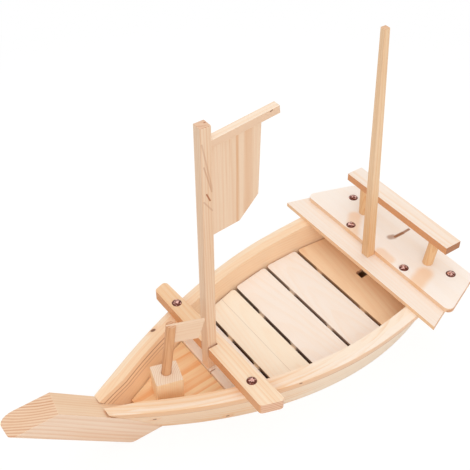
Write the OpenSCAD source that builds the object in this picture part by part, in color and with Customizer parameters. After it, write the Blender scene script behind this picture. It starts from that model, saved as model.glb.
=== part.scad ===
// Wooden snack boat: a pine serving platter in the shape of a sailing boat.
// Millimetres. +X points to the bow, +Y to port, +Z up. The origin is on the table,
// under the middle of the boat.

/* [Hull outline] */
// Greatest half breadth over the rub strips
rail_half = 122; // [110:1:135]
// Where the hull is broadest
broad_x = -132; // [-150:1:-110]
// How far ahead of the side planks the rail's curve would close
rail_close = 30; // [22:1:44]
// Fullness of the rail's curve towards the bow
rail_bow_power = 1.8; // [1.7:0.05:2]
// Length of the rail's curve behind the broadest place
rail_stern_run = 427; // [380:1:500]
// Greatest half breadth where the hull meets the table
foot_half = 89; // [80:1:96]
// How far ahead of the side planks' feet the foot's curve would close
foot_close = 28; // [21:1:43]
// Length of the foot's curve behind the broadest place
foot_stern_run = 256; // [240:1:300]
// Lowest height of the rail
sheer_low_z = 70.3; // [66:0.1:74]
// Where the rail is lowest
sheer_low_x = 90.8; // [60:0.1:110]
// Height of the rail at the stern plank
stern_seat_z = 90.9; // [84:0.1:96]

/* [Side planks] */
// Thickness of a side plank, measured across the boat
plank_t = 11; // [8:0.5:12]
// Front end of the side planks at the rail
plank_head_x = 184; // [178:1:188]
// How far the side planks' front ends slope back down to the table
plank_head_slope = 69; // [64:1:76]
// Where the planks start to fan out towards the stem
fan_x = 55; // [45:1:60]
// How far the stern board reaches past the side planks
stern_overhang = 15; // [10:1:30]
// Thickness of a rub strip
strip_t = 10; // [6:0.5:12]
// Height of a rub strip
strip_h = 15; // [8:0.5:22]
// Length along which a rub strip thins towards the stem
strip_thin_l = 39; // [29:1:64]
// Thickness that is left of a rub strip at the stem
strip_end_t = 2; // [1.5:0.1:4]
// Radius on the outer top edge of a rub strip
strip_edge_r = 4; // [1:0.5:6]

/* [Bottom and stern] */
// Thickness of the bottom board
bottom_t = 8; // [5:0.5:12]
// Thickness of the transom
transom_t = 12; // [8:0.5:16]
// Thickness of the bulkhead under the stern plank
bulkhead_t = 12; // [8:0.5:14]
// Distance of the bulkhead's middle behind the stern board's front edge
bulkhead_behind = 8.5; // [7:0.5:12]

/* [Stem] */
// How far the stem's tip reaches ahead of the side planks
stem_reach = 116; // [106:1:136]
// Height of the stem's level end
stem_top_z = 116.4; // [100:0.1:130]
// Angle of the stem above the table
stem_rake = 40.3; // [37:0.1:44]
// Width of the stem
stem_w = 34; // [30:0.5:40]
// Depth of the stem at its port side
stem_port_d = 38; // [36:0.5:41]
// Depth of the stem at its starboard side
stem_starboard_d = 41.5; // [38:0.5:43]
// Radius on the stem's lower edge to port
stem_port_r = 6; // [1:0.5:8]
// Radius on the stem's lower edge to starboard
stem_starboard_r = 12.5; // [1:0.5:14]

/* [Deck] */
// Height of the deck's top above the origin
deck_z = 48.66; // [46:0.1:52]
// Slope of the deck down towards the bow
deck_pitch = 4.26; // [3:0.1:5]
// Front edge of the deck
deck_front_x = 39.65; // [36:0.1:42]
// Thickness of a slat
slat_t = 6; // [4:0.5:7]
// Gap between slats
slat_gap = 4; // [2:0.5:8]
// Share of the first slat, under the beam, in the deck's length
slat_1_share = 48.5; // [44:0.5:52]
// Share of the second slat
slat_2_share = 51.5; // [46:0.5:54]
// Share of the third slat
slat_3_share = 51.5; // [46:0.5:54]
// Share of the fourth slat
slat_4_share = 48.5; // [44:0.5:52]
// Share of the fifth slat, part of it under the stern plank
slat_5_share = 53.5; // [48:0.5:60]
// Gap between the deck and the bulkhead
deck_aft_gap = 2.4; // [1:0.1:5]
// Corner radius of a slat
slat_corner_r = 4; // [1:0.5:8]
// Length of the hole in the fifth slat
slat_hole_l = 13; // [8:0.5:18]
// Width of the hole in the fifth slat
slat_hole_w = 12.6; // [6:0.2:20]
// Distance of the hole's middle from the fifth slat's aft edge
slat_hole_off = 12.73; // [10:0.01:18]
// Width of the saw cut in the first slat, beside the mast
kerf_w = 1.5; // [0.8:0.1:3]
// Length of that saw cut
kerf_l = 7; // [3:0.5:14]
// Distance of the saw cut from the beam's notch
kerf_off = 1.6; // [0.5:0.1:6]
// Height of a batten under the slats
batten_h = 8; // [5:0.5:12]
// Width of a batten
batten_w = 10; // [6:0.5:16]
// Distance of the battens' aft ends from the deck's aft end
batten_short = 24.1; // [12:0.1:30]
// Port batten's front end, place across the boat
batten_port_front = 33.9; // [20:0.1:50]
// Port batten's aft end, place across the boat
batten_port_aft = 50.2; // [20:0.1:60]
// Starboard batten's front end, place across the boat
batten_starboard_front = 17.2; // [10:0.1:50]
// Starboard batten's aft end, place across the boat
batten_starboard_aft = 45.4; // [20:0.1:60]

/* [Bow floor and flag] */
// Height of the bow floor's top
bow_floor_z = 41.9; // [40:0.1:44]
// Thickness of the bow floor
bow_floor_t = 6; // [4:0.5:9]
// Length of the flag's block along the boat
block_l = 33; // [26:0.5:35]
// Width of the flag's block
block_w = 32; // [24:0.5:34]
// Height of the flag's block
block_h = 34.5; // [26:0.5:42]
// Centre of the block along the boat
block_x = 98; // [92:0.5:102]
// Centre of the block across the boat
block_y = 5; // [2:0.5:6]
// Turn of the block about the vertical
block_yaw = -16; // [-18:1:-10]
// Diameter of the flag's dowel
flag_dowel_d = 12; // [8:0.5:14]
// Length of the dowel above the block
flag_dowel_l = 78; // [60:1:90]
// Depth of the dowel's hole in the block
flag_socket_d = 18; // [10:1:24]
// Distance of the dowel's foot behind the block's centre
dowel_behind = 0.9; // [0:0.1:3]
// Distance of the dowel's foot to starboard of the block's centre
dowel_aside = 1.8; // [0:0.1:3]
// Lean of the dowel towards the stern
flag_lean = 7.4; // [0:0.1:10]
// Lean of the dowel to port
flag_list = 1.3; // [0:0.1:3]
// Rise of the flag from the dowel, measured square to it
flag_rise = 6.5; // [0:0.5:8]
// Length of the flag along its top
flag_l = 46; // [35:1:48]
// Height of the flag
flag_h = 29; // [20:1:40]
// Thickness of the flag
flag_t = 3; // [2:0.5:5]
// How much shorter the flag is along its lower edge
flag_cut = 8; // [0:1:14]
// Direction of the flag, measured from straight aft
flag_yaw = -20; // [-24:1:0]

/* [Beam, mast and sail] */
// Height of the beam's top
beam_top_z = 85.4; // [84:0.1:88]
// Width of the beam along the boat at its port end
beam_port_w = 30.2; // [26:0.2:34]
// Width of the beam along the boat at its starboard end
beam_starboard_w = 19.6; // [18:0.2:34]
// Height of the beam's underside above the rail's lowest place
beam_seat = 0.6; // [0.2:0.1:2]
// Front edge of the beam
beam_front_x = 39.9; // [39.7:0.1:42]
// Half length of the beam at its front edge
beam_half = 115.6; // [106:0.2:130]
// Slant of the beam's ends
beam_end_taper = 0.34; // [0:0.01:0.5]
// Corner radius of the beam
beam_corner_r = 5; // [1:0.5:9]
// Side of the square mast
mast_w = 13.3; // [11:0.1:14]
// Height of the mast's top
mast_top_z = 405.4; // [360:0.2:450]
// Centre of the mast along the boat
mast_x = 33; // [32.6:0.1:33]
// Open gap at the mast's port side in the beam's notch
notch_gap = 2.4; // [0.5:0.1:4]
// Distance of the yard's underside below the mast's top
yard_drop = 29.8; // [15:0.2:60]
// Side of the square yard
yard_w = 10; // [8:0.5:13]
// Length of the yard
yard_l = 89; // [76:1:120]
// Rise of the yard towards the stern
yard_rise = 6.3; // [0:0.1:10]
// Thickness of the sail
sail_t = 4; // [3:0.5:6]
// Width of the sail at its top
sail_top_w = 66.2; // [56:0.2:72]
// Width of the sail where its aft edge turns in
sail_turn_w = 63.6; // [52:0.2:66]
// Width of the sail along its foot
sail_foot_w = 38.2; // [30:0.2:48]
// Height of the sail at the mast
sail_h = 119.7; // [105:0.1:135]
// Distance below the yard of the place where the sail's aft edge turns in
sail_turn_drop = 89.1; // [66:0.1:98]
// Rise of the sail's foot towards the stern
sail_foot_rise = 3.8; // [0:0.2:8]

/* [Stern plank, board and rear mast] */
// How far the stern plank reaches ahead of the stern board
stern_step = 28.5; // [25:0.5:33]
// Width of the stern plank along the boat
stern_plank_w = 47.5; // [44:0.5:56]
// Thickness of the stern plank
stern_plank_t = 6; // [4:0.5:8]
// Half length of the stern plank at its front edge
stern_plank_half = 147.6; // [140:0.2:152]
// Taper of the stern plank's port end
stern_plank_port_taper = 0.42; // [0:0.01:0.45]
// Taper of the stern plank's starboard end
stern_plank_starboard_taper = 0.28; // [0:0.01:0.45]
// Aft edge of the stern board
stern_x = -300; // [-310:1:-290]
// Width of the stern board along the boat
stern_board_w = 71; // [68:0.5:74]
// Thickness of the stern board
stern_board_t = 6.5; // [4:0.5:9]
// Length of the stern board's front edge to port
stern_board_port = 145.8; // [134:0.2:147]
// Length of the stern board's front edge to starboard
stern_board_starboard = 140.2; // [134:0.2:147]
// Taper of the stern board's port end
stern_board_port_taper = 0.42; // [0.1:0.01:0.45]
// Taper of the stern board's starboard end
stern_board_starboard_taper = 0.33; // [0.1:0.01:0.45]
// Corner radius of the stern board
stern_board_r = 8; // [2:0.5:14]
// Side of the rear mast at its foot
rear_mast_foot = 12.3; // [10:0.1:15]
// Side of the rear mast at its top
rear_mast_tip = 7.6; // [5:0.1:10]
// Height of the rear mast above the stern plank
rear_mast_h = 340.5; // [300:0.5:380]
// Lean of the rear mast towards the bow
rear_mast_lean = 2.65; // [0:0.05:3]
// Height of the rail's underside
rail_z = 141.9; // [125:0.1:160]
// Thickness of the rail
rail_t = 11; // [8:0.5:14]
// Width of the rail along the boat
rail_w = 24.6; // [18:0.2:30]
// Half length of the rail
rail_half_l = 95; // [80:1:110]
// Centre of the rail across the boat
rail_mid_y = -1.4; // [-5:0.1:5]
// Distance of the rail's middle from the stern board's aft edge
rail_off = 23.3; // [20:0.1:30]
// Diameter of a rail post
post_d = 14; // [9:0.5:16]
// Distance of the posts' feet from the stern board's aft edge
post_off = 30; // [24:0.5:32]
// Centre of each post's foot across the boat
post_y = 63; // [50:0.5:75]
// Outward lean of the posts
post_splay = 6; // [0:0.5:10]
// Lean of the posts towards the stern
post_rake = 3; // [0:0.5:8]

/* [Nails] */
// Diameter of a nail's round head
nail_head_d = 12.8; // [9:0.1:14]
// Height of a nail's round head
nail_head_h = 3.2; // [1.5:0.1:4]
// Diameter of a nail's shank
nail_shank_d = 2.4; // [1.6:0.1:3.2]
// Length of the nails in the beam and at the stern's corners
nail_long = 26; // [20:1:34]
// Length of the nails in the bulkhead
nail_mid = 20; // [16:1:26]
// Beam nails, place along the boat
beam_nail_x = 27.7; // [26:0.1:29]
// How far the port nail is behind that place and the starboard one ahead of it
beam_nail_skew = 1.5; // [0:0.1:3]
// Beam nails, distance in from the rail's outer edge
beam_nail_inset = 12; // [11:0.2:15]
// Stern front nails, place across the boat
stern_nail_y = 52.7; // [30:0.5:75]
// Stern corner nails, distance from the planks' aft ends
corner_nail_off = 6; // [3:0.5:12]
// Stern corner nails, distance in from the rail's outer edge
corner_nail_inset = 11.3; // [10:0.1:14]

/* [Fits] */
// Gap between wooden pieces that are let into or dropped between others
fit = 0.2; // [0.1:0.05:0.4]
// Gap between the slats' lower edges and the side planks
slat_end_gap = 0.3; // [0.2:0.05:0.5]
// Radial gap round a nail's shank
nail_fit = 0.1; // [0.05:0.01:0.2]

/* [Hidden] */
$fn = 48;

// Colours of the woods and the nails
pine = "#f0cf9f";
pine_pale = "#f6dfbb";
pine_tan = "#dda569";
pine_dark = "#a8602c";
copper = "#6b3423";

// Places along the boat that follow from the stern board's
plank_aft_x = stern_x + stern_overhang;
stern_board_x = stern_x + stern_board_w;
stern_plank_x = stern_board_x + stern_step;
bulkhead_x = stern_board_x - bulkhead_behind;
rail_x = stern_x + rail_off;
post_x = stern_x + post_off;

// Places at the bow that follow from the side planks' front ends
plank_foot_x = plank_head_x - plank_head_slope;
strip_thin_x = plank_head_x - strip_thin_l;
stem_tip_x = plank_head_x + stem_reach;
rail_bow_run = plank_head_x + rail_close - broad_x;
foot_bow_run = plank_foot_x + foot_close - broad_x;

// Heights that follow from the sizes above
yard_z = mast_top_z - yard_drop;
sail_turn_z = yard_z - sail_turn_drop;
sail_foot_z = yard_z - sail_h;
beam_z = sheer_low_z + beam_seat;
beam_t = beam_top_z - beam_z;
stern_plank_top = stern_seat_z + stern_plank_t;
stern_board_top = stern_plank_top + stern_board_t;
stern_plank_aft = stern_plank_x - stern_plank_w;
stem_foot_x = stem_tip_x - stem_top_z / tan(stem_rake);
big = 400;
eps = 0.01;

// Straight line between two values
function mix(a, b, t) = a + (b - a) * t;
// Half breadth of an outline that is broadest at broad_x
function outline(x, half, bow_run, bow_power, stern_run) =
    x > broad_x ? half * (1 - pow((x - broad_x) / bow_run, bow_power))
                : half * (1 - pow((broad_x - x) / stern_run, 2));
function rail_y(x) = outline(x, rail_half, rail_bow_run, rail_bow_power, rail_stern_run);
function foot_y(x) = outline(x, foot_half, foot_bow_run, 2, foot_stern_run);
function strip_at(u) = u < strip_thin_x ? strip_t
    : mix(strip_t, strip_end_t, (u - strip_thin_x) / (plank_head_x - strip_thin_x));
// Height of the rail, a parabola through its lowest place and the stern plank's seat
sheer_rise = (stern_seat_z - sheer_low_z) / pow(stern_plank_x - sheer_low_x, 2);
function sheer(u) = sheer_low_z + sheer_rise * pow(u - sheer_low_x, 2);
// Rulings of a side plank: station u at the rail stands over foot_x(u) on the table
fan_ratio = (plank_foot_x - fan_x) / (plank_head_x - fan_x);
function foot_x(u) = u < fan_x ? u : fan_x + (u - fan_x) * fan_ratio;
// Point at station u and height z, off millimetres outside the plank's outer face
function skin(u, z, off) = let (w = z / sheer(u))
    [mix(foot_x(u), u, w), mix(foot_y(foot_x(u)), rail_y(u) - strip_at(u), w) + off, z];
// Station whose ruling passes a place x at height z
function station(x, z) = x < fan_x ? x
    : fan_x + (x - fan_x) / mix(fan_ratio, 1, z / sheer(x));
// Half breadth between the side planks at a place x and height z
function inner_y(x, z) = skin(station(x, z), z, -plank_t)[1];
// Stations along the hull, about step apart
function stations(a, b, step) = let (n = ceil(abs(b - a) / step)) [for (i = [0:n]) mix(a, b, i / n)];
// Stations of a side plank from its aft end to its head, closer where it fans out
function hull_stations(step, fan_step) = concat(stations(plank_aft_x, fan_x, step),
    [for (u = stations(fan_x, plank_head_x, fan_step)) if (u > fan_x) u]);

// Outline with each corner rounded to radius r by arcs of a few points
function unit(v) = v / norm(v);
function corner(p, q, s, r, n) =
    let (a = unit(p - q), b = unit(s - q), half = acos(a * b) / 2,
         d = r / tan(half), c = q + unit(a + b) * r / sin(half),
         f = q + a * d - c, g = q + b * d - c, turn = acos(min(1, f * g / (r * r))))
    [for (i = [0:n]) c + (f * sin(turn * (1 - i / n)) + g * sin(turn * i / n)) / sin(turn)];
function rounded(pts, r, n = 5) = let (m = len(pts))
    [for (i = [0:m - 1]) each corner(pts[(i + m - 1) % m], pts[i], pts[(i + 1) % m], r, n)];

// Solid through a row of closed sections that have the same number of points
module loft(sections) {
    k = len(sections[0]);
    last = (len(sections) - 1) * k;
    points = [for (s = sections) each s];
    sides = [for (i = [0:len(sections) - 2], j = [0:k - 1])
        let (a = i * k + j, b = i * k + (j + 1) % k) each [[a, b + k, b], [a, a + k, b + k]]];
    ends = [[for (j = [0:k - 1]) j], [for (j = [k - 1:-1:0]) last + j]];
    polyhedron(points, concat(sides, ends), convexity = 6);
}

// Half space above a height, as a block from x0 to x1 and right across the boat
module block_above(x0, x1, z) {
    translate([x0, -big, z]) cube([x1 - x0, 2 * big, big]);
}

// Frame of the sloping deck: X runs along the deck, Z is square to it
module on_deck() {
    translate([0, 0, deck_z]) rotate([0, deck_pitch, 0]) children();
}
function deck_top(x) = deck_z - x * tan(deck_pitch);

// Beam's outline from above; it narrows to starboard
beam_aft_port = beam_front_x - beam_port_w;
beam_aft_starboard = beam_front_x - beam_starboard_w;
beam_corners = [
    [beam_aft_starboard, -beam_half - beam_end_taper * beam_starboard_w], [beam_front_x, -beam_half],
    [beam_front_x, beam_half], [beam_aft_port, beam_half + beam_end_taper * beam_port_w]];

// Seats that are planed flat into the rails for the beam, the stern plank and the board
module rail_seats() {
    aft = [beam_corners[0] - [fit, 0], beam_corners[3] - [fit, 0]];
    front = [[beam_front_x + fit, aft[1][1]], [beam_front_x + fit, aft[0][1]]];
    translate([0, 0, beam_z]) linear_extrude(big) polygon(concat(aft, front));
    block_above(stern_plank_aft - fit, stern_plank_x + fit, stern_seat_z);
    block_above(-big, stern_plank_aft, stern_plank_top);
}

// Places of the nails, with the height of each head's underside and the shank's length
beam_nail_y = rail_y(beam_nail_x) - beam_nail_inset;
corner_nail_x = plank_aft_x + corner_nail_off;
corner_nail_y = rail_y(corner_nail_x) - corner_nail_inset;
beam_nail_spots = [for (s = [-1, 1])
    [beam_nail_x - s * beam_nail_skew, s * beam_nail_y, beam_top_z, nail_long]];
stern_nail_spots = concat(
    [for (s = [-1, 1]) [bulkhead_x, s * stern_nail_y, stern_board_top, nail_mid]],
    [for (s = [-1, 1]) [corner_nail_x, s * corner_nail_y, stern_board_top, nail_long]]);

module nail_holes(spots) {
    for (p = spots)
        translate([p[0], p[1], p[2] - p[3] - nail_fit])
            cylinder(h = p[3] + 1, d = nail_shank_d + 2 * nail_fit);
}

// Everything that is cut out of a side plank and its rub strip, mirrored for the starboard ones
module side_cuts(side) {
    mirror([0, side < 0 ? 1 : 0, 0]) {
        rail_seats();
        nail_holes(beam_nail_spots);
        nail_holes(stern_nail_spots);
    }
}

module nails(spots) {
    cap_r = (pow(nail_head_d / 2, 2) + pow(nail_head_h, 2)) / (2 * nail_head_h);
    color(copper)
        for (p = spots)
            translate([p[0], p[1], p[2]]) {
                intersection() {
                    translate([0, 0, nail_head_h - cap_r]) sphere(cap_r, $fn = 64);
                    cylinder(h = nail_head_h + 1, d = nail_head_d + 1);
                }
                translate([0, 0, -p[3]]) cylinder(h = p[3] + eps, d = nail_shank_d);
            }
}

// Side plank to port: ruled between its foot on the table and the rail
module port_plank(side) {
    us = hull_stations(10, 7);
    difference() {
        loft([for (u = us) let (z = sheer(u))
            [skin(u, 0, 0), skin(u, z, 0), skin(u, z, -plank_t), skin(u, 0, -plank_t)]]);
        side_cuts(side);
    }
}
module side_plank_port() color(pine) port_plank(1);
module side_plank_starboard() color(pine) mirror([0, 1, 0]) port_plank(-1);

// Rub strip along the outside of a rail, thinned where it runs out on the stem
function strip_section(u) =
    let (z = sheer(u), t = strip_at(u), top_r = min(strip_edge_r, t * 0.45), low_r = top_r / 2)
    concat([skin(u, z - strip_h, 0)],
        [for (a = [0:30:90]) skin(u, z - strip_h + low_r * (1 - cos(a)), t - low_r * (1 - sin(a)))],
        [for (a = [0:22.5:90]) skin(u, z - top_r * (1 - sin(a)), t - top_r * (1 - cos(a)))],
        [skin(u, z, 0)]);
module port_strip(side) {
    us = hull_stations(12, 8);
    difference() {
        loft([for (u = us) strip_section(u)]);
        side_cuts(side);
    }
}
module rub_strip_port() color(pine_pale) port_strip(1);
module rub_strip_starboard() color(pine_pale) mirror([0, 1, 0]) port_strip(-1);

// Space that a side plank and its strip take out of the stem
module plank_rebate() {
    low = -stem_port_r;
    high = stern_seat_z;
    inner = -plank_t - fit;
    loft([for (u = stations(fan_x, plank_head_x + fit, 10))
        [skin(u, low, inner), skin(u, low, stem_w), skin(u, high, stem_w), skin(u, high, inner)]]);
}

// Stem: a raked bar with a level end, let in between the side planks
module stem() {
    w = stem_w / 2;
    rp = stem_port_r;
    rs = stem_starboard_r;
    run_below = stem_starboard_d / tan(stem_rake) + 1;
    run_above = stem_top_z / sin(stem_rake) + 1;
    section = concat([[-stem_starboard_d, -w]],
        [for (a = [270:15:360]) [-rs + rs * cos(a), -w + rs + rs * sin(a)]],
        [for (a = [0:18:90]) [-rp + rp * cos(a), w - rp + rp * sin(a)]],
        [[-stem_port_d, w]]);
    color(pine_tan)
        difference() {
            intersection() {
                translate([stem_foot_x, 0, 0]) rotate([0, 90 - stem_rake, 0])
                    translate([0, 0, -run_below]) linear_extrude(run_below + run_above) polygon(section);
                translate([0, -big, 0]) cube([big, 2 * big, stem_top_z]);
            }
            plank_rebate();
            mirror([0, 1, 0]) plank_rebate();
        }
}

// Board between the side planks from x0 to x1 and z0 to z1
module between_planks(x0, x1, z0, z1, step) {
    loft([for (x = stations(x0, x1, step))
        [[x, -inner_y(x, z0) + fit, z0], [x, inner_y(x, z0) - fit, z0],
         [x, inner_y(x, z1) - fit, z1], [x, -inner_y(x, z1) + fit, z1]]]);
}

stem_heel_x = stem_foot_x - stem_starboard_d / sin(stem_rake);
module bottom_board() {
    color(pine) between_planks(plank_aft_x, stem_heel_x - fit, 0, bottom_t, 12);
}
module transom() {
    color(pine) between_planks(plank_aft_x, plank_aft_x + transom_t, bottom_t, stern_plank_top, 6);
}
module bulkhead() {
    x0 = bulkhead_x - bulkhead_t / 2;
    color(pine_tan) difference() {
        between_planks(x0, x0 + bulkhead_t, bottom_t, stern_seat_z, 6);
        nail_holes(stern_nail_spots);
    }
}

// Bow floor: its lower edges rest on the flared side planks and the stem
module bow_floor() {
    z0 = bow_floor_z - bow_floor_t;
    x0 = deck_front_x + fit;
    x1 = stem_heel_x + z0 / tan(stem_rake) - fit;
    edge = [for (x = stations(x0, x1, 8)) [x, inner_y(x, z0) - slat_end_gap]];
    back = [for (i = [len(edge) - 1:-1:0]) [edge[i][0], -edge[i][1]]];
    color(pine_tan) translate([0, 0, z0]) linear_extrude(bow_floor_t) polygon(concat(edge, back));
}

// Deck slats, numbered from the bow, share the room between the bow floor and the bulkhead
slat_shares = [slat_1_share, slat_2_share, slat_3_share, slat_4_share, slat_5_share];
share_sum = slat_shares * [for (s = slat_shares) 1];
deck_front = deck_front_x / cos(deck_pitch);
deck_aft = (bulkhead_x + bulkhead_t / 2 + deck_aft_gap) / cos(deck_pitch);
slats_room = deck_front - deck_aft - (len(slat_shares) - 1) * slat_gap;
slat_widths = slat_shares * slats_room / share_sum;
function slat_front(i) = i == 0 ? deck_front : slat_front(i - 1) - slat_widths[i - 1] - slat_gap;
function slat_end_y(s) = let (x = s * cos(deck_pitch))
    inner_y(x, deck_top(x) - slat_t / cos(deck_pitch)) - slat_end_gap;
module slat(i) {
    s1 = slat_front(i);
    s0 = s1 - slat_widths[i];
    outline = [[s0, -slat_end_y(s0)], [s1, -slat_end_y(s1)], [s1, slat_end_y(s1)], [s0, slat_end_y(s0)]];
    on_deck() translate([0, 0, -slat_t]) linear_extrude(slat_t) polygon(rounded(outline, slat_corner_r));
}
kerf_y = mast_w / 2 + notch_gap + kerf_off;
module slat_1() {
    color(pine_pale) difference() {
        slat(0);
        on_deck() translate([deck_front - kerf_l, kerf_y, -slat_t - 1])
            cube([kerf_l + 1, kerf_w, slat_t + 2]);
    }
}
module slat_2() color(pine_pale) slat(1);
module slat_3() color(pine_pale) slat(2);
module slat_4() color(pine_pale) slat(3);
module slat_5() {
    color(pine_pale) difference() {
        slat(4);
        on_deck() translate([deck_aft + slat_hole_off - slat_hole_l / 2, -slat_hole_w / 2, -slat_t - 1])
            cube([slat_hole_l, slat_hole_w, slat_t + 2]);
    }
}

// Battens that join the slats from below: along the deck from the first slat to the last
batten_front = slat_front(0) - slat_widths[0] / 2;
batten_aft = deck_aft + batten_short;
module batten(y_front, y_aft) {
    run = batten_front - batten_aft;
    turn = atan((y_front - y_aft) / run);
    color(pine_tan) on_deck() translate([batten_aft, y_aft, -slat_t - batten_h]) rotate([0, 0, turn])
        translate([0, -batten_w / 2, 0]) cube([run / cos(turn), batten_w, batten_h]);
}
module batten_port() batten(batten_port_front, batten_port_aft);
module batten_starboard() batten(-batten_starboard_front, -batten_starboard_aft);

// Beam across the rails, with a notch for the mast in its front edge
module beam() {
    color(pine) difference() {
        translate([0, 0, beam_z]) linear_extrude(beam_t) polygon(rounded(beam_corners, beam_corner_r));
        translate([mast_x - mast_w / 2 - fit, -mast_w / 2 - fit, beam_z - 1])
            cube([2 * mast_w, mast_w + fit + notch_gap, beam_t + 2]);
        nail_holes(beam_nail_spots);
    }
}

// Mast: stands on the first slat, its foot cut to the deck's slope
module mast() {
    color(pine_tan) difference() {
        translate([mast_x - mast_w / 2, -mast_w / 2, 0]) cube([mast_w, mast_w, mast_top_z]);
        on_deck() translate([-big / 2, -big / 2, -big]) cube(big);
    }
}

// Yard: a square bar from the mast's aft face, rising towards the stern
yard_front_x = mast_x - mast_w / 2;
function yard_under(x) = yard_z + (yard_front_x - x) * tan(yard_rise);
module yard() {
    color(pine) difference() {
        translate([yard_front_x, -yard_w / 2, yard_z]) rotate([0, yard_rise, 0])
            translate([-yard_l, 0, 0]) cube([yard_l + yard_w, yard_w, yard_w]);
        translate([yard_front_x, -big / 2, 0]) cube([big, big, 2 * big]);
    }
}

// Sail: a thin board under the yard, its aft lower corner cut away
module sail() {
    top_x = yard_front_x - sail_top_w;
    outline = [[yard_front_x, sail_foot_z], [yard_front_x - sail_foot_w, sail_foot_z + sail_foot_rise],
               [yard_front_x - sail_turn_w, sail_turn_z], [top_x, yard_under(top_x)], [yard_front_x, yard_z]];
    color(pine_tan) translate([0, sail_t / 2, 0]) rotate([90, 0, 0]) linear_extrude(sail_t) polygon(outline);
}

// Flag: a block on the bow floor carries a leaning dowel with a small board in its slot
module at_flag() {
    translate([block_x - dowel_behind, block_y - dowel_aside, bow_floor_z + block_h])
        rotate([-flag_list, -flag_lean, 0]) children();
}
module flag_block() {
    color(pine_tan) difference() {
        translate([block_x, block_y, bow_floor_z]) rotate([0, 0, block_yaw])
            translate([-block_l / 2, -block_w / 2, 0]) cube([block_l, block_w, block_h]);
        at_flag() translate([0, 0, -flag_socket_d])
            cylinder(h = flag_socket_d + flag_dowel_l, d = flag_dowel_d + 2 * fit);
    }
}
module flag_board(grow) {
    front = flag_dowel_d / 2;
    outline = [[front, grow], [front - flag_l, grow], [front - flag_l + flag_cut, -flag_h], [front, -flag_h]];
    at_flag() translate([0, 0, flag_dowel_l]) rotate([0, 0, flag_yaw]) rotate([90, 0, 0])
        translate([0, 0, -flag_t / 2 - grow / 10]) linear_extrude(flag_t + grow / 5)
            rotate([0, 0, -flag_rise]) polygon(outline);
}
module flag_dowel() {
    color(pine_dark) difference() {
        at_flag() translate([0, 0, -flag_socket_d + fit])
            cylinder(h = flag_dowel_l + flag_socket_d - fit, d = flag_dowel_d);
        flag_board(1);
    }
}
module flag() color(pine_pale) flag_board(0);

// Stern plank: lies across the rails, ends tapered towards the stern
module stern_plank() {
    outline = [
        [stern_plank_aft, stern_plank_starboard_taper * stern_plank_w - stern_plank_half],
        [stern_plank_x, -stern_plank_half], [stern_plank_x, stern_plank_half],
        [stern_plank_aft, stern_plank_half - stern_plank_port_taper * stern_plank_w]];
    color(pine) difference() {
        translate([0, 0, stern_seat_z]) linear_extrude(stern_plank_t) polygon(outline);
        nail_holes(stern_nail_spots);
    }
}

// Stern board: lies on the stern plank and the rails behind it
module stern_board() {
    w = stern_board_x - stern_x;
    outline = [[stern_x, stern_board_starboard_taper * w - stern_board_starboard],
               [stern_board_x, -stern_board_starboard], [stern_board_x, stern_board_port],
               [stern_x, stern_board_port - stern_board_port_taper * w]];
    color(pine_pale) difference() {
        translate([0, 0, stern_plank_top]) linear_extrude(stern_board_t)
            polygon(rounded(outline, stern_board_r));
        nail_holes(stern_nail_spots);
    }
}

// Rear mast: a tapered bar on the stern plank, against the stern board's front edge
module rear_mast() {
    foot = rear_mast_foot / 2;
    tip = rear_mast_tip / 2;
    foot_mid = stern_board_x + foot + fit;
    tip_mid = foot_mid + rear_mast_h * tan(rear_mast_lean);
    color(pine_tan) loft([
        for (e = [[foot_mid, foot, stern_plank_top], [tip_mid, tip, stern_plank_top + rear_mast_h]])
            [for (c = [[-1, -1], [1, -1], [1, 1], [-1, 1]]) [e[0] + c[0] * e[1], c[1] * e[1], e[2]]]]);
}

// Rail across the stern on two round posts that lean outwards
module rail_post(side) {
    color(pine_tan) intersection() {
        translate([post_x, side * post_y, stern_board_top]) rotate([-side * post_splay, -post_rake, 0])
            translate([0, 0, -post_d]) cylinder(h = rail_z - stern_board_top + 2 * post_d, d = post_d);
        translate([-big, -big, stern_board_top]) cube([2 * big, 2 * big, rail_z - stern_board_top]);
    }
}
module rail_post_port() rail_post(1);
module rail_post_starboard() rail_post(-1);
module rail() {
    color(pine) translate([rail_x - rail_w / 2, rail_mid_y - rail_half_l, rail_z])
        cube([rail_w, 2 * rail_half_l, rail_t]);
}

module beam_nails() nails(beam_nail_spots);
module stern_nails() nails(stern_nail_spots);

stem();
side_plank_port();
side_plank_starboard();
rub_strip_port();
rub_strip_starboard();
bottom_board();
transom();
bulkhead();
bow_floor();
batten_port();
batten_starboard();
slat_1();
slat_2();
slat_3();
slat_4();
slat_5();
beam();
mast();
yard();
sail();
flag_block();
flag_dowel();
flag();
stern_plank();
stern_board();
rear_mast();
rail_post_port();
rail_post_starboard();
rail();
beam_nails();
stern_nails();
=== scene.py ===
"""Wooden snack boat: finishes, edges, floor, light and camera round the CAD frame.

Metres in the row frame: +X to the bow, +Y to port, +Z up. Places, widths and radii in the
tables are in millimetres, as they are in the part's source. Colours in them are screen colours,
from 0 to 255.
"""
from collections import namedtuple
from math import cos, radians, sin

import bpy
from mathutils import Matrix, Vector

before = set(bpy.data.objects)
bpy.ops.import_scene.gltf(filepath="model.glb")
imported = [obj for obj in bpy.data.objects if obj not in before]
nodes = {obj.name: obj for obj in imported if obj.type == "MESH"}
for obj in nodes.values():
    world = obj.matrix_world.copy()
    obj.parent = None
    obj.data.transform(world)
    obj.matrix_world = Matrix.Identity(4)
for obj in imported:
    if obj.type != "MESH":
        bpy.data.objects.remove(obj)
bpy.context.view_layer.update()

MM = 0.001
X, Y, Z = (1, 0, 0), (0, 1, 0), (0, 0, 1)
EVERY_WAY = (0, 0, 0)

# A line from start to end, seen on the faces that it runs through
Mark = namedtuple("Mark", "start end half_width strength through")
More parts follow.
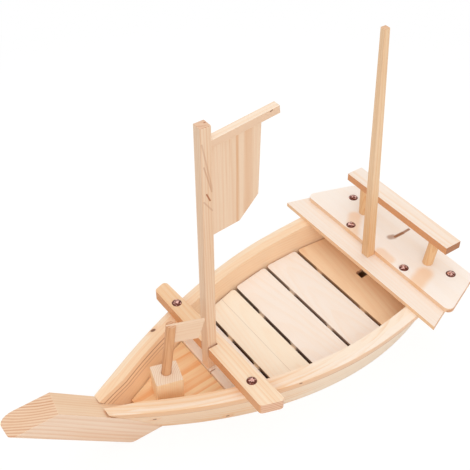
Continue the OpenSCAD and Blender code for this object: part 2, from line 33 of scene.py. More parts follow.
# A band between two places on an axis; a gain below 0 makes it paler
Stripe = namedtuple("Stripe", "axis low high soft gain")
Knot = namedtuple("Knot", "spot radius through")

# Sockets of a Mix node that blends colours
MIX_FACTOR, MIX_A, MIX_B, MIX_RESULT = 0, 6, 7, 2


def linear(rgb):
    """Scene-linear RGBA of a screen colour."""
    parts = [c / 255 for c in rgb]
    return tuple(c / 12.92 if c < 0.04045 else ((c + 0.055) / 1.055) ** 2.4 for c in parts) + (1.0,)


class Tree:
    """A node tree whose nodes are made one call at a time."""

    def __init__(self, node_tree):
        self.nodes = node_tree.nodes
        self.links = node_tree.links
        self.nodes.clear()

    def add(self, kind, inputs=None, **settings):
        """A new node. Each input is another node's output, or a value for the socket itself."""
        made = self.nodes.new(kind)
        for key, value in settings.items():
            setattr(made, key, value)
        for key, value in (inputs or {}).items():
            if isinstance(value, bpy.types.NodeSocket):
                self.links.new(value, made.inputs[key])
            else:
                made.inputs[key].default_value = value
        return made

    def math(self, operation, a, b=0.0, clamp=False):
        made = self.add("ShaderNodeMath", {0: a, 1: b}, operation=operation, use_clamp=clamp)
        return made.outputs[0]

    def plus(self, a, b, clamp=False):
        return self.math("ADD", a, b, clamp)

    def minus(self, a, b):
        return self.math("SUBTRACT", a, b)

    def times(self, a, b, clamp=False):
        return self.math("MULTIPLY", a, b, clamp)

    def largest(self, a, b):
        return self.math("MAXIMUM", a, b)

    def root_of_squares(self, a, b):
        return self.math("SQRT", self.plus(self.times(a, a), self.times(b, b)))

    def vector(self, operation, a, b):
        return self.add("ShaderNodeVectorMath", {0: a, 1: b}, operation=operation).outputs["Vector"]

    def dot(self, a, b):
        return self.add("ShaderNodeVectorMath", {0: a, 1: b}, operation="DOT_PRODUCT").outputs["Value"]

    def length(self, a):
        return self.add("ShaderNodeVectorMath", {0: a}, operation="LENGTH").outputs["Value"]

    def split(self, place):
        return self.add("ShaderNodeSeparateXYZ", {0: place}).outputs

    def join(self, x, y, z):
        return self.add("ShaderNodeCombineXYZ", {0: x, 1: y, 2: z}).outputs[0]

    def ramp(self, value, low, high, start=0.0, end=1.0):
        """Smooth step of value from start at low to end at high."""
        made = self.add(
            "ShaderNodeMapRange",
            {"Value": value, "From Min": low, "From Max": high, "To Min": start, "To Max": end},
            interpolation_type="SMOOTHSTEP",
        )
        return made.outputs["Result"]

    def blend(self, factor, a, b):
        made = self.add("ShaderNodeMix", {MIX_FACTOR: factor, MIX_A: a, MIX_B: b}, data_type="RGBA")
        return made.outputs[MIX_RESULT]

    def noise(self, place, scale=1.0, detail=2.0):
        made = self.add("ShaderNodeTexNoise", {"Vector": place, "Scale": scale, "Detail": detail})
        return made.outputs["Fac"]

    def seen_directly(self):
        """1 for what the camera sees, straight or in a glossy surface, and 0 for light on objects."""
        path = self.add("ShaderNodeLightPath")
        return self.largest(path.outputs["Is Camera Ray"], path.outputs["Is Glossy Ray"])


def new_material(name):
    """A material and its empty tree."""
    material = bpy.data.materials.new(name)
    material.use_nodes = True
    return material, Tree(material.node_tree)


BUMP_STRENGTH = 0.6


def end_surface(t, colour, roughness, height, depth, metallic, specular):
    """The surface that ends a material's tree. Height from 0 to 1 is a bump of that depth."""
    bump = t.add("ShaderNodeBump", {"Height": height, "Distance": depth * MM, "Strength": BUMP_STRENGTH})
    shader = t.add(
        "ShaderNodeBsdfPrincipled",
        {"Base Color": colour, "Roughness": roughness, "Metallic": metallic,
         "Specular IOR Level": specular, "Normal": bump.outputs[0]},
    )
    t.add("ShaderNodeOutputMaterial", {"Surface": shader.outputs[0]})


# Wood tones: early wood, late wood
WHITE = ((250, 239, 230), (247, 219, 192))
CREAM = ((251, 230, 205), (243, 201, 158))
ROSE = ((244, 219, 195), (229, 186, 150))
PALE_ROSE = ((245, 223, 205), (231, 192, 162))
HONEY = ((251, 219, 184), (238, 186, 138))
AMBER = ((252, 211, 163), (236, 167, 106))
POST = ((243, 203, 158), (228, 172, 118))
TAN = ((232, 184, 142), (196, 134, 92))
# The hull floor under the deck, dark as painted shade where it shows through the gaps
SHADED_HULL_FLOOR = ((150, 84, 50), (112, 58, 34))
# Single tones
END_GRAIN = (230, 193, 164)
END_RING = (196, 124, 82)
# Tones of narrow faces: partly side grain, partly painted shade; the russet one on the beam's and the
# rail's sides
NARROW_FACE = (236, 186, 138)
RUSSET_SIDE_SHADE = (222, 154, 98)
# Painted shade in the gaps between the slats
GAP_SHADE = (112, 66, 38)
KNOT = (104, 52, 28)
# Tone of the painted warm shadows on the stern board
WARM_SHADOW = (246, 196, 144)
BARK = (158, 106, 70)
# Copper's own dark tone, and its painted highlight
DARK_COPPER, COPPER_HIGHLIGHT = (104, 58, 48), (232, 184, 172)

# The rail's curve in plan, as in the part's source: half its breadth, the station where it is
# broadest, the runs from there to the bow and the stern, and the powers of the two curves
RAIL_HALF, BROAD_X, BOW_RUN, STERN_RUN = 122, -132, 346, 427
BOW_POWER, STERN_POWER = 1.8, 2.0

# Noise scales along the grain and across it, per metre, and its detail
GrainNoise = namedtuple("GrainNoise", "lengthwise crosswise detail")
WANDER_NOISE = GrainNoise(2.5, 16.0, 2.0)
FIBRE_NOISE = GrainNoise(18.0, 620.0, 3.0)
STREAK_NOISE = GrainNoise(3.5, 70.0, 1.0)
# Noise has its middle at a half; low and high noise between which the look changes
NOISE_MIDDLE = 0.5
YEAR_RANGE, STREAK_RANGE, FIBRE_RANGE, SMOOTH_RANGE = (0.3, 0.7), (0.35, 0.75), (0.45, 0.8), (0.3, 0.8)
# How far rings wander, and how far they swell round a knot
WANDER, KNOT_SWELL = 12.0, 4.0
# Rise of the grain from which a board counts as upright
UPRIGHT = 0.8
# Shares of a year at which late wood starts, is full, starts to fade and ends
LATE_STARTS, LATE_FULL, LATE_FADES, LATE_ENDS = 0.3, 0.88, 0.9, 1.0
# How fast a year's strength changes from one to the next, and the weakest year
YEAR_CHANGE, WEAKEST_YEAR = 0.45, 0.35
# What rings, streaks and fibres give of the late tone, at a contrast of 1, and fibres at any
RING_SHARE, STREAK_SHARE, FIBRE_SHARE, FIBRE_LEAST = 0.75, 0.4, 0.2, 0.12
# Cosine between normal and axis at which a face counts as a broad one, and as a narrow one
BROAD_COSINE, NARROW_COSINE = 0.75, 0.35
# Cosine between normal and grain at which end grain starts to show, and is full
END_STARTS, END_FULL = 0.45, 0.72
# Knots: radii at which the core is full and ends, and the same for its halo, in knot radii
CORE_FULL, CORE_ENDS, HALO_FULL, HALO_ENDS = 0.65, 1.0, 0.8, 4.0
# Knots are longer along the grain; how much the core and the halo cover
KNOT_SQUEEZE, CORE_COVER, HALO_COVER = 0.6, 0.85, 0.35
# Share of a mark's half width within which it is full
MARK_CORE = 0.35
# What rings and fibres give of the bump, and its depth; roughness of smooth and of open fibre
RING_HEIGHT, FIBRE_HEIGHT, WOOD_BUMP = 0.5, 0.6, 0.16
SMOOTH_WOOD, OPEN_WOOD, WOOD_SPECULAR = 0.5, 0.66, 0.35


def bent_across(t, place):
    """Distance across the boat from the rail's own curve, for a plank that is bent along it."""
    x, y, _ = t.split(place)
    ahead = t.math("DIVIDE", t.minus(x, BROAD_X * MM), BOW_RUN * MM, clamp=True)
    behind = t.math("DIVIDE", t.minus(BROAD_X * MM, x), STERN_RUN * MM, clamp=True)
    fall = t.plus(t.math("POWER", ahead, BOW_POWER), t.math("POWER", behind, STERN_POWER))
    return t.plus(t.math("ABSOLUTE", y), t.times(fall, RAIL_HALF * MM))


def knot_fields(t, place, grain, knots):
    """How much of each place is a knot's core, and how much its halo."""
    core, halo = 0.0, 0.0
    for knot in knots:
        side = grain.cross(Vector(knot.through)).normalized()
        away = t.vector("SUBTRACT", place, Vector(knot.spot) * MM)
        radius = knot.radius * MM
        along = t.times(t.dot(away, grain), KNOT_SQUEEZE / radius)
        across = t.times(t.dot(away, side), 1 / radius)
        reach = t.root_of_squares(along, across)
        core = t.largest(core, t.ramp(reach, CORE_ENDS, CORE_FULL))
        halo = t.largest(halo, t.ramp(reach, HALO_ENDS, HALO_FULL))
    return core, halo


def stripe_field(t, place, stripes):
    """Sum of the gains of the broad bands at each place."""
    field = 0.0
    for stripe in stripes:
        across = t.dot(place, stripe.axis)
        rise = t.ramp(across, (stripe.low - stripe.soft) * MM, (stripe.low + stripe.soft) * MM)
        fall = t.ramp(across, (stripe.high + stripe.soft) * MM, (stripe.high - stripe.soft) * MM)
        field = t.plus(field, t.times(t.times(rise, fall), stripe.gain))
    return field


def mark_field(t, place, marks):
    """Strength of the nearest mark at each place."""
    field = 0.0
    for mark in marks:
        seen = Vector((1, 1, 1)) - Vector(mark.through)
        first = Vector(mark.start) * MM * seen
        run = Vector(mark.end) * MM * seen - first
        away = t.vector("SUBTRACT", t.vector("MULTIPLY", place, seen), first)
        share = t.times(t.dot(away, run), 1 / run.length_squared, clamp=True)
        nearest = t.vector("MULTIPLY", t.join(share, share, share), run)
        distance = t.length(t.vector("SUBTRACT", away, nearest))
        half_width = mark.half_width * MM
        line = t.ramp(distance, half_width, half_width * MARK_CORE, 0.0, mark.strength)
        field = t.largest(field, line)
    return field


def board_places(t, place, grain, pith, bent, seed):
    """Distances from the pith: along the grain and two ways across it."""
    first = grain.cross(Vector(Z) if abs(grain.z) < UPRIGHT else Vector(X)).normalized()
    from_pith = t.vector("SUBTRACT", place, Vector(pith) * MM)
    along = t.plus(t.dot(from_pith, grain), seed)
    if bent:
        across = t.minus(bent_across(t, place), pith[1] * MM)
    else:
        across = t.dot(from_pith, first)
    return along, across, t.dot(from_pith, grain.cross(first))


def grain_noise(t, board, kind):
    """Noise that is drawn out along the grain."""
    along, across, deep = board
    lengthwise, crosswise, detail = kind
    spot = t.join(t.times(along, lengthwise), t.times(across, crosswise), t.times(deep, crosswise))
    return t.noise(spot, detail=detail)


def late_wood(t, board, halo, ring, seed):
    """Growth rings round the pith: 0 in early wood, up to 1 in late wood."""
    _, across, deep = board
    wander = t.minus(grain_noise(t, board, WANDER_NOISE), NOISE_MIDDLE)
    radius = t.plus(t.root_of_squares(across, deep), t.times(wander, WANDER * MM))
    radius = t.plus(radius, t.times(halo, KNOT_SWELL * MM))
    years = t.math("DIVIDE", radius, ring * MM)
    year = t.math("FRACT", years)
    late = t.times(t.ramp(year, LATE_STARTS, LATE_FULL), t.ramp(year, LATE_ENDS, LATE_FADES))
    change = t.noise(t.join(t.times(years, YEAR_CHANGE), seed, 0.0))
    return t.times(late, t.ramp(change, *YEAR_RANGE, WEAKEST_YEAR, 1.0))


def pine(name, grain, pith, tones, ring=3.4, contrast=1.0, seed=0.0, bent=False,
         flat=None, one_sided=False, edge=(NARROW_FACE, 0.5), lit=(),
         end_tone=(END_GRAIN, 0.45), end_rings=0.9,
         stripes=(), knots=(), painted_shadows=(), marks=(), mark_tone=KNOT):
    """Planed pine.

    grain and pith: the way of the fibres, and a place on the axis of the growth rings
    tones, ring, contrast: early and late wood, a year's width, and how much late wood shows
    seed: shifts the pattern along the grain, so that no two boards are alike
    bent: whether the pattern follows the rail's curve
    flat, one_sided, edge: the axis of the broad faces, whether only the one towards it counts,
        and the tone of the other faces with its share, partly side grain and partly painted shade
    lit: places where the other faces keep the wood's own colour instead of that painted shade
    end_tone, end_rings: the tone of end grain with its share, and how much its rings show
    stripes, knots, smears, marks: colour in single places; smears are painted warm shadows, and marks
    take mark_tone
    """
    material, t = new_material(name)
    coordinates = t.add("ShaderNodeTexCoord")
    place = coordinates.outputs["Object"]
    normal = coordinates.outputs["Normal"]
    grain = Vector(grain).normalized()
    core, halo = knot_fields(t, place, grain, knots)
    board = board_places(t, place, grain, pith, bent, seed)
    late = late_wood(t, board, halo, ring, seed)
    fibre = grain_noise(t, board, FIBRE_NOISE)
    streak = grain_noise(t, board, STREAK_NOISE)

    amount = t.times(late, RING_SHARE * contrast)
    amount = t.plus(amount, t.ramp(streak, *STREAK_RANGE, 0.0, STREAK_SHARE * contrast))
    amount = t.plus(amount, t.ramp(fibre, *FIBRE_RANGE, 0.0, FIBRE_LEAST + FIBRE_SHARE * contrast))
    amount = t.plus(amount, stripe_field(t, place, stripes), clamp=True)
    early_tone, late_tone = tones
    colour = t.blend(amount, linear(early_tone), linear(late_tone))
    # Painted warm shadows, cast by the posts and the rear mast on the stern board
    if painted_shadows:
        colour = t.blend(mark_field(t, place, painted_shadows), colour, linear(WARM_SHADOW))

    # Narrow faces take the edge tone: partly side grain, partly painted shade, left off where lit
    if flat:
        square = t.dot(normal, flat)
        if not one_sided:
            square = t.math("ABSOLUTE", square)
        tone, cover = edge
        side = t.ramp(square, BROAD_COSINE, NARROW_COSINE, 0.0, cover)
        if lit:
            side = t.times(side, t.minus(1.0, mark_field(t, place, lit)))
        colour = t.blend(side, colour, linear(tone))

    tone, cover = end_tone
    end = t.ramp(t.math("ABSOLUTE", t.dot(normal, grain)), END_STARTS, END_FULL)
    colour = t.blend(t.times(end, cover), colour, linear(tone))
    colour = t.blend(t.times(t.times(late, end), end_rings), colour, linear(END_RING))

    if knots:
        colour = t.blend(t.times(halo, HALO_COVER), colour, linear(AMBER[1]))
        colour = t.blend(t.times(core, CORE_COVER), colour, linear(KNOT))
    if marks:
        colour = t.blend(mark_field(t, place, marks), colour, linear(mark_tone))

    height = t.plus(t.times(late, RING_HEIGHT), t.times(fibre, FIBRE_HEIGHT))
    roughness = t.ramp(fibre, *SMOOTH_RANGE, SMOOTH_WOOD, OPEN_WOOD)
    end_surface(t, colour, roughness, height, WOOD_BUMP, metallic=0.0, specular=WOOD_SPECULAR)
    return material


# Hammered metal: dents per metre, how far they break up the painted highlight, and the depth of a dent
DENT_SCALE, DENT_HIGHLIGHT_SCATTER, DENT_DEPTH = 420.0, 1.4, 0.9
# How far upwards a place has to face to take a little of the painted highlight, and all of it
HIGHLIGHT_STARTS, HIGHLIGHT_FULL = 0.82, 1.08
# Low and high noise of the dents, with the roughness at each
DENT_RANGE, DENT_ROUGHNESS, COPPER_SPECULAR = (0.3, 0.7), (0.22, 0.4), 0.5


def copper(name):
    """Round nail heads of dark, hammered copper, with a highlight painted on where they face up."""
    material, t = new_material(name)
    coordinates = t.add("ShaderNodeTexCoord")
    _, _, upward = t.split(coordinates.outputs["Normal"])
    dents = t.noise(coordinates.outputs["Object"], DENT_SCALE, 1.0)
    painted_highlight = t.plus(upward, t.times(t.minus(dents, NOISE_MIDDLE), DENT_HIGHLIGHT_SCATTER))
    colour = t.blend(t.ramp(painted_highlight, HIGHLIGHT_STARTS, HIGHLIGHT_FULL), linear(DARK_COPPER), linear(COPPER_HIGHLIGHT))
    roughness = t.ramp(dents, *DENT_RANGE, *DENT_ROUGHNESS)
    end_surface(t, colour, roughness, dents, DENT_DEPTH, metallic=1.0, specular=COPPER_SPECULAR)
    return material


# The stem's rake, as in the part's source, and the way the flag points
STEM_RAKE, FLAG_TURN = radians(40.3), radians(20)
STEM_GRAIN = (cos(STEM_RAKE), 0, sin(STEM_RAKE))
FLAG_GRAIN = (cos(FLAG_TURN), -sin(FLAG_TURN), 0)
DECK_GRAIN = (0.03, 1, 0.06)

# Tones of narrow faces with their shares: painted shade, dark in the gaps between the slats, paler on
# the slats astern, and warm on the rub strips' sides
DECK_EDGE_SHADE = (GAP_SHADE, 0.75)
PALER_DECK_EDGE_SHADE = ((176, 122, 84), 0.6)
STRIP_SIDE_SHADE = ((233, 178, 128), 0.55)
# Weights that pick a port plank's outer and top faces, whatever its flare; its inner face takes the edge
# tone as painted shade
OUTER_AND_TOP = (0, 1.1, 0.75)

# The near rail is paler astern than towards the bow
PALE_ASTERN = [Stripe(X, -320, -60, 60, -0.35), Stripe(X, -20, 260, 60, 0.3)]
BEAM_STRIPES = [Stripe(Y, -200, -20, 40, 0.5)]
REAR_MAST_STRIPES = [Stripe(Z, 60, 190, 60, 0.45)]
SAIL_STRIPES = [
    Stripe(X, -10.2, -7.0, 0.7, 0.8),
    Stripe(X, -16.0, -12.0, 1.0, -0.5),
    Stripe(X, -29.0, -18.5, 2.5, 0.5),
    Stripe(X, 9.5, 10.5, 0.7, 0.35),
    Stripe(X, 5.2, 6.0, 0.7, 0.3),
    Stripe(X, 1.0, 1.8, 0.7, 0.3),
]

# Light that falls through the slat's hole and on the battens in the gaps
SLAT_HOLE = [Mark((-223, 0, 60), (-210, 0, 60), 16.0, 0.9, Z)]
BATTENS = [
    Mark((16, 33.9, 40), (-205, 50.2, 60), 9.0, 0.9, Z),
    Mark((16, -17.2, 40), (-205, -45.4, 60), 9.0, 0.9, Z),
]
LIT_HULL_FLOOR = [Mark((-230, 0, 8), (-205, 0, 8), 18.0, 0.9, Z)]

MAST_MARKS = [
    Mark((34.2, 6.6, 321), (30.0, 6.6, 311), 1.3, 0.95, Y),
    Mark((38.2, 6.6, 386), (27.0, 6.6, 325), 1.4, 0.3, Y),
    Mark((36.5, 6.6, 357), (27.5, 6.6, 322), 1.3, 0.38, Y),
    Mark((37.8, 6.6, 312), (27.3, 6.6, 296), 1.3, 0.3, Y),
    Mark((29.4, -1.4, 405.4), (28.4, -1.4, 405.4), 1.3, 0.9, Z),
]
YARD_MARKS = [Mark((-48.5, 5.2, 392), (-51.5, 5.2, 393), 0.9, 0.8, Y)]
SLAT_LINE = [Mark((-39.8, -84, 52), (-38.8, 78, 52), 0.5, 0.28, Z)]
# The long knot on the stern board
BOARD_MARKS = [
    Mark((-264.0, -2.4, 103), (-268.0, -0.8, 103), 6.5, 0.7, Z),
    Mark((-270, 0.6, 103), (-284, 0.8, 103), 3.6, 1.0, Z),
    Mark((-284, 0.8, 103), (-295.5, 0.0, 103), 3.0, 0.9, Z),
]
# Painted warm shadows by the near post and on both sides of the rear mast
BOARD_PAINTED_SHADOWS = [
    Mark((-252, 76, 103), (-224, 86, 103), 16.0, 0.6, Z),
    Mark((-234, 12, 103), (-233, 30, 103), 11.0, 0.45, Z),
    Mark((-254, -64, 103), (-224, -35, 103), 13.0, 0.5, Z),
]
# Grooved lines on the inner wall at the bow
WALL_MARKS = [
    Mark((40, -80, 63.5), (183, -20, 66.0), 1.0, 0.6, Y),
    Mark((40, -80, 58.5), (183, -20, 61.5), 0.9, 0.5, Y),
    Mark((40, -80, 54.5), (183, -20, 57.5), 0.8, 0.35, Y),
]
# The port strip's lower border, from the bow to the stern, drawn as a line of painted shade, and the
# knot above it
STRIP_BORDER = [
    (156, 27.6, 58.3), (115, 49.9, 56.8), (94, 60.5, 57.0), (72, 69.8, 56.7), (50, 78.8, 56.8),
    (27, 87.5, 57.9), (-9, 98.8, 59.1), (-28, 103.7, 59.9), (-47, 108.5, 61.9), (-67, 112.3, 63.5),
    (-88, 115.4, 65.3), (-110, 117.5, 67.3), (-134, 118.4, 69.8), (-158, 118.1, 73.0),
    (-179, 117, 75.4),
]
STRIP_BORDER_SHADE_AND_KNOT = [Mark(start, end, 1.1, 0.45, Y) for start, end in zip(STRIP_BORDER, STRIP_BORDER[1:])]
STRIP_BORDER_SHADE_AND_KNOT.append(Mark((-29.0, 106.0, 70.2), (-25.0, 107.0, 70.5), 1.6, 0.9, EVERY_WAY))

WOODS = {
    "stem": dict(
        grain=STEM_GRAIN, pith=(223, -93, 174), tones=PALE_ROSE, ring=3.5,
        flat=Y, edge=((250, 217, 176), 0.45)),
    "side_plank_port": dict(
        grain=X, pith=(0, 70, 10), tones=((252, 237, 220), (243, 204, 165)), contrast=0.8, bent=True,
        flat=OUTER_AND_TOP, one_sided=True, edge=((240, 184, 130), 0.5), stripes=PALE_ASTERN,
        knots=[Knot((129, 19.5, 30.5), 1.6, Y), Knot((44, 75, 6.5), 1.6, Y)]),
    "side_plank_starboard": dict(
        grain=X, pith=(0, 60, 30), tones=((251, 222, 190), (240, 193, 149)), contrast=0.4, seed=3.0,
        bent=True, marks=WALL_MARKS, mark_tone=(150, 82, 44)),
    "rub_strip_port": dict(
        grain=X, pith=(0, 90, 40), tones=((252, 239, 226), (243, 207, 170)), contrast=0.7, seed=5.0,
        bent=True, flat=Z, edge=STRIP_SIDE_SHADE, stripes=PALE_ASTERN,
        marks=STRIP_BORDER_SHADE_AND_KNOT, mark_tone=(140, 84, 54)),
    "rub_strip_starboard": dict(
        grain=X, pith=(0, 80, 45), tones=CREAM, contrast=0.4, seed=6.0,
        bent=True, flat=Z, edge=STRIP_SIDE_SHADE, knots=[Knot((72.3, -68.8, 71), 2.6, Z)]),
    # The hull floor's top takes the painted shade tones, its other faces honey wood
    "bottom_board": dict(
        grain=X, pith=(0, 20, -50), tones=SHADED_HULL_FLOOR, seed=7.0,
        flat=Z, one_sided=True, edge=(HONEY[1], 0.9),
        marks=LIT_HULL_FLOOR, mark_tone=(255, 190, 150)),
    "transom": dict(grain=Y, pith=(-330, 0, 30), tones=HONEY, seed=8.0),
    "bulkhead": dict(grain=Y, pith=(-280, 0, 60), tones=AMBER, seed=9.0),
    "bow_floor": dict(
        grain=(1, 0.06, 0), pith=(80, -20, 20), tones=((255, 227, 186), (243, 178, 120)),
        ring=9.0, seed=10.0),
    "batten_port": dict(grain=X, pith=(0, 30, 0), tones=CREAM, contrast=0.5, seed=11.0),
    "batten_starboard": dict(grain=X, pith=(0, -50, 0), tones=CREAM, contrast=0.5, seed=12.0),
    "slat_1": dict(
        grain=DECK_GRAIN, pith=(10, 0, -5), tones=WHITE, contrast=0.35, seed=13.0,
        flat=Z, edge=((255, 236, 220), 1.0)),
    "slat_2": dict(
        grain=DECK_GRAIN, pith=(-60, 0, 5), tones=((252, 239, 220), (248, 219, 188)), contrast=0.35,
        seed=14.0, flat=Z, edge=DECK_EDGE_SHADE, lit=BATTENS, marks=SLAT_LINE),
    "slat_3": dict(
        grain=(-0.02, 1, 0.05), pith=(-75, 0, -10), tones=WHITE, contrast=0.25, seed=15.0,
        flat=Z, edge=DECK_EDGE_SHADE, lit=BATTENS),
    "slat_4": dict(
        grain=DECK_GRAIN, pith=(-150, 0, 10), tones=WHITE, contrast=0.3, seed=16.0,
        flat=Z, edge=PALER_DECK_EDGE_SHADE, lit=BATTENS),
    # Warmer and darker than the other slats: painted shade under the stern plank
    "slat_5": dict(
        grain=(0.03, 1, -0.05), pith=(-180, 0, 15), tones=((251, 218, 182), (238, 184, 134)),
        contrast=0.35, seed=17.0, flat=Z, edge=PALER_DECK_EDGE_SHADE, lit=BATTENS + SLAT_HOLE),
    "beam": dict(
        grain=Y, pith=(60, 0, 40), tones=CREAM, contrast=0.7, seed=18.0, flat=Z, edge=(RUSSET_SIDE_SHADE, 0.8),
        end_tone=((236, 200, 176), 0.85), end_rings=0.6, stripes=BEAM_STRIPES),
    "mast": dict(
        grain=(0.01, 0.01, 1), pith=(60, 30, 200), tones=ROSE, ring=2.6, contrast=0.8, seed=19.0,
        marks=MAST_MARKS, mark_tone=(176, 108, 70)),
    "yard": dict(
        grain=(1, 0, -0.11), pith=(0, 20, 350), tones=((252, 237, 220), (245, 211, 178)), ring=2.6,
        contrast=0.7, seed=20.0, flat=Z, edge=((236, 202, 174), 0.8), marks=YARD_MARKS),
    "sail": dict(
        grain=(0.02, 0, 1), pith=(-20, -30, 300), tones=ROSE, contrast=0.45, seed=21.0,
        stripes=SAIL_STRIPES),
    "flag_block": dict(
        grain=Z, pith=(60, 40, 60), tones=((255, 233, 199), (248, 204, 156)), ring=2.4, contrast=0.5,
        seed=22.0, end_tone=((242, 222, 204), 0.75), end_rings=0.35),
    "flag_dowel": dict(grain=Z, pith=(90, -20, 100), tones=TAN, ring=2.6, contrast=1.2, seed=23.0),
    "flag": dict(
        grain=FLAG_GRAIN, pith=(80, -20, 120), tones=ROSE, ring=2.8, contrast=0.4, seed=24.0),
    "stern_plank": dict(
        grain=Y, pith=(-250, 0, 50), tones=WHITE, contrast=0.35, seed=25.0,
        flat=Z, edge=((250, 206, 158), 0.8)),
    "stern_board": dict(
        grain=(0.02, 1, 0.03), pith=(-255, 0, 20), tones=((254, 247, 242), (251, 233, 216)),
        ring=9.0, contrast=0.3, seed=26.0, flat=Z, edge=((246, 198, 148), 0.7),
        painted_shadows=BOARD_PAINTED_SHADOWS, marks=BOARD_MARKS, mark_tone=BARK),
    "rear_mast": dict(
        grain=(0.04, 0, 1), pith=(-190, 40, 200), tones=((247, 219, 187), (226, 172, 114)),
        ring=2.8, contrast=0.5, seed=27.0, stripes=REAR_MAST_STRIPES),
    "rail_post_port": dict(
        grain=Z, pith=(-250, 90, 120), tones=POST, ring=2.6, contrast=0.7, seed=28.0),
    "rail_post_starboard": dict(
        grain=Z, pith=(-250, -30, 120), tones=POST, ring=2.6, contrast=0.7, seed=29.0),
    "rail": dict(
        grain=Y, pith=(-300, 0, 100), tones=WHITE, contrast=0.8, seed=30.0,
        flat=Z, edge=(RUSSET_SIDE_SHADE, 0.9), end_tone=((158, 112, 86), 0.75)),
}

# How much is taken off the edges, and less where the edges close a joint
EASE = 0.6
FINE_EASES = {"bow_floor": 0.15, "slat_1": 0.3}
WELD_REACH, BEVEL_STEPS = 0.01, 2
# Degrees up to which faces count as one, and from which an edge is a corner
ONE_FACE, CORNER = 0.5, 35
# The stern's corner nails end inside the rub strips; their tips would show under them
LOWEST_NAIL = 90.0


def dress(node, material):
    """Gives every slot of a node one material."""
    node.data.materials.clear()
    node.data.materials.append(material)


def ease_edges(node, width):
    """Takes the sharp corners off, as sandpaper does."""
    weld = node.modifiers.new("weld", "WELD")
    weld.merge_threshold = WELD_REACH * MM
    flat = node.modifiers.new("whole faces", "DECIMATE")
    flat.decimate_type = "DISSOLVE"
    flat.angle_limit = radians(ONE_FACE)
    bevel = node.modifiers.new("eased edge", "BEVEL")
    bevel.width = width * MM
    bevel.segments = BEVEL_STEPS
    bevel.limit_method = "ANGLE"
    bevel.angle_limit = radians(CORNER)
    bevel.harden_normals = False
    node.modifiers.new("flat faces stay flat", "WEIGHTED_NORMAL")


def shorten_nails(node, lowest):
    """Ends a node's nails at a lowest height."""
    group = bpy.data.node_groups.new("shorter nails", "GeometryNodeTree")
    for way in ("INPUT", "OUTPUT"):
        group.interface.new_socket("Geometry", in_out=way, socket_type="NodeSocketGeometry")
    t = Tree(group)
    taken = t.add("NodeGroupInput").outputs[0]
    x, y, z = t.split(t.add("GeometryNodeInputPosition").outputs[0])
    place = t.join(x, y, t.largest(z, lowest * MM))
    moved = t.add("GeometryNodeSetPosition", {"Geometry": taken, "Position": place}).outputs[0]
    t.add("NodeGroupOutput", {0: moved})
    node.modifiers.new("shorter nails", "NODES").node_group = group


def dress_all():
    for name, wood in WOODS.items():
        dress(nodes[name], pine(f"pine {name.replace('_', ' ')}", **wood))
        ease_edges(nodes[name], FINE_EASES.get(name, EASE))
    nail_metal = copper("copper nails")
    for name in ("beam_nails", "stern_nails"):
        dress(nodes[name], nail_metal)
    shorten_nails(nodes["stern_nails"], LOWEST_NAIL)


# The floor's width and its drop below the hull, in metres, and its colour to the light
FLOOR_WIDTH, FLOOR_DROP, FLOOR_COLOUR = 8.0, 0.0003, (0.84, 0.82, 0.79, 1.0)
# Metres from the middle up to which the floor shows the full shadow, and from which none
SHADOW_FULL, SHADOW_ENDS = 0.5, 1.0
# How much of the floor's look is lit there, and how much of its glow that takes away
LIT_SHARE, GLOW_LOSS = 0.16, 0.12
PURE_WHITE = (1.0, 1.0, 1.0, 1.0)


def studio_floor():
    """A pale floor that shows white, with the object's soft shadow on it."""
    bpy.ops.mesh.primitive_plane_add(size=FLOOR_WIDTH, location=(0, 0, -FLOOR_DROP))
    floor = bpy.context.object
    floor.name = "studio_floor"
    material, t = new_material("studio floor")
    plain = t.add("ShaderNodeBsdfDiffuse", {"Color": FLOOR_COLOUR})
    away = t.length(t.add("ShaderNodeTexCoord").outputs["Object"])
    near = t.ramp(away, SHADOW_ENDS, SHADOW_FULL)
    shade = t.times(near, LIT_SHARE)
    faint = t.add("ShaderNodeBsdfDiffuse", {"Color": t.join(shade, shade, shade)})
    level = t.minus(1.0, t.times(near, GLOW_LOSS))
    glow = t.add("ShaderNodeEmission", {"Color": PURE_WHITE, "Strength": level})
    white = t.add("ShaderNodeAddShader", {0: faint.outputs[0], 1: glow.outputs[0]})
    shown = t.add(
        "ShaderNodeMixShader", {0: t.seen_directly(), 1: plain.outputs[0], 2: white.outputs[0]})
    t.add("ShaderNodeOutputMaterial", {"Surface": shown.outputs[0]})
    dress(floor, material)


# Name, place and diameter in metres, watts, colour
LAMPS = [
    ("softbox above, astern to starboard", (-0.6, -0.65, 2.4), 3.0, 9.0, (0.94, 0.98, 1.0)),
    ("softbox in front, to port", (0.9, 2.0, 1.2), 1.8, 14.0, (1.0, 0.95, 0.88)),
]
# Where the lamps point, in metres
LAMP_AIM = (0, 0, 0.1)
# Colour of the room's light, its level at the horizon and what it gains up to the zenith
ROOM_TINT, ROOM_LEVEL, ROOM_GAIN = (1.0, 0.94, 0.875, 1.0), 0.42, 0.6


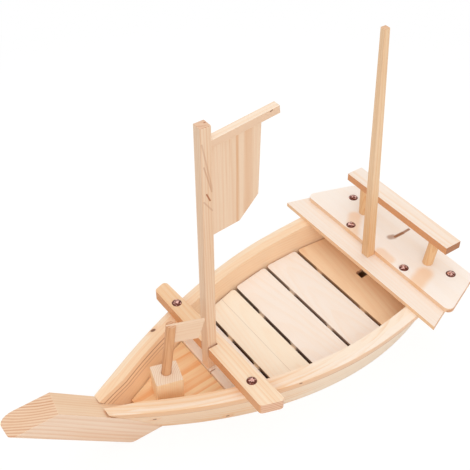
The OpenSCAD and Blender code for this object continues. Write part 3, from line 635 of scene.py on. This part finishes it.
def studio_light():
    """Two broad soft lamps and an even, warm room that shows white."""
    for name, spot, size, watts, tint in LAMPS:
        lamp = bpy.data.lights.new(name, "AREA")
        lamp.shape = "DISK"
        lamp.size = size
        lamp.energy = watts
        lamp.color = tint
        made = bpy.data.objects.new(name, lamp)
        made.location = spot
        aim = Vector(LAMP_AIM) - made.location
        made.rotation_euler = aim.to_track_quat("-Z", "Y").to_euler()
        bpy.context.scene.collection.objects.link(made)

    world = bpy.data.worlds.new("room")
    world.use_nodes = True
    t = Tree(world.node_tree)
    _, _, upward = t.split(t.add("ShaderNodeTexCoord").outputs["Generated"])
    level = t.add(
        "ShaderNodeMapRange",
        {"Value": upward, "To Min": ROOM_LEVEL, "To Max": ROOM_LEVEL + ROOM_GAIN},
    )
    fill = t.add("ShaderNodeBackground", {"Color": ROOM_TINT, "Strength": level.outputs["Result"]})
    white = t.add("ShaderNodeBackground", {"Color": PURE_WHITE, "Strength": 1.0})
    mix = t.add(
        "ShaderNodeMixShader", {0: t.seen_directly(), 1: fill.outputs[0], 2: white.outputs[0]})
    t.add("ShaderNodeOutputWorld", {"Surface": mix.outputs[0]})
    bpy.context.scene.world = world


# The camera fitted to the photograph: its angles in degrees and its place
CAMERA_AZIMUTH, CAMERA_ELEVATION, CAMERA_ROLL = 145.07, 41.16, -0.284
CAMERA_PLACE = (443.69, 644.66, 926.75)
# Its focal length and the picture's width in pixels, and the sensor's width in millimetres
FOCAL_PIXELS, PICTURE_PIXELS, SENSOR_WIDTH = 922.56, 470, 36.0
# Metres from the camera between which things show
CLIP_NEAR, CLIP_FAR = 0.05, 20.0


def photo_camera():
    """The camera at the photograph's place and angle."""
    azimuth, elevation, roll = radians(CAMERA_AZIMUTH), radians(CAMERA_ELEVATION), radians(CAMERA_ROLL)
    back = Vector((sin(azimuth) * cos(elevation), -cos(azimuth) * cos(elevation), sin(elevation)))
    level = Vector((cos(azimuth), sin(azimuth), 0))
    upright = back.cross(level)
    right = level * cos(roll) + upright * sin(roll)
    up = upright * cos(roll) - level * sin(roll)
    data = bpy.data.cameras.new("camera")
    data.sensor_width = SENSOR_WIDTH
    data.lens = FOCAL_PIXELS / PICTURE_PIXELS * SENSOR_WIDTH
    data.clip_start = CLIP_NEAR
    data.clip_end = CLIP_FAR
    camera = bpy.data.objects.new("camera", data)
    turn = Matrix((right, up, back)).transposed().to_4x4()
    camera.matrix_world = Matrix.Translation(Vector(CAMERA_PLACE) * MM) @ turn
    bpy.context.scene.collection.objects.link(camera)
    bpy.context.scene.camera = camera


bpy.context.scene.view_settings.view_transform = "Standard"
dress_all()
studio_floor()
studio_light()
photo_camera()
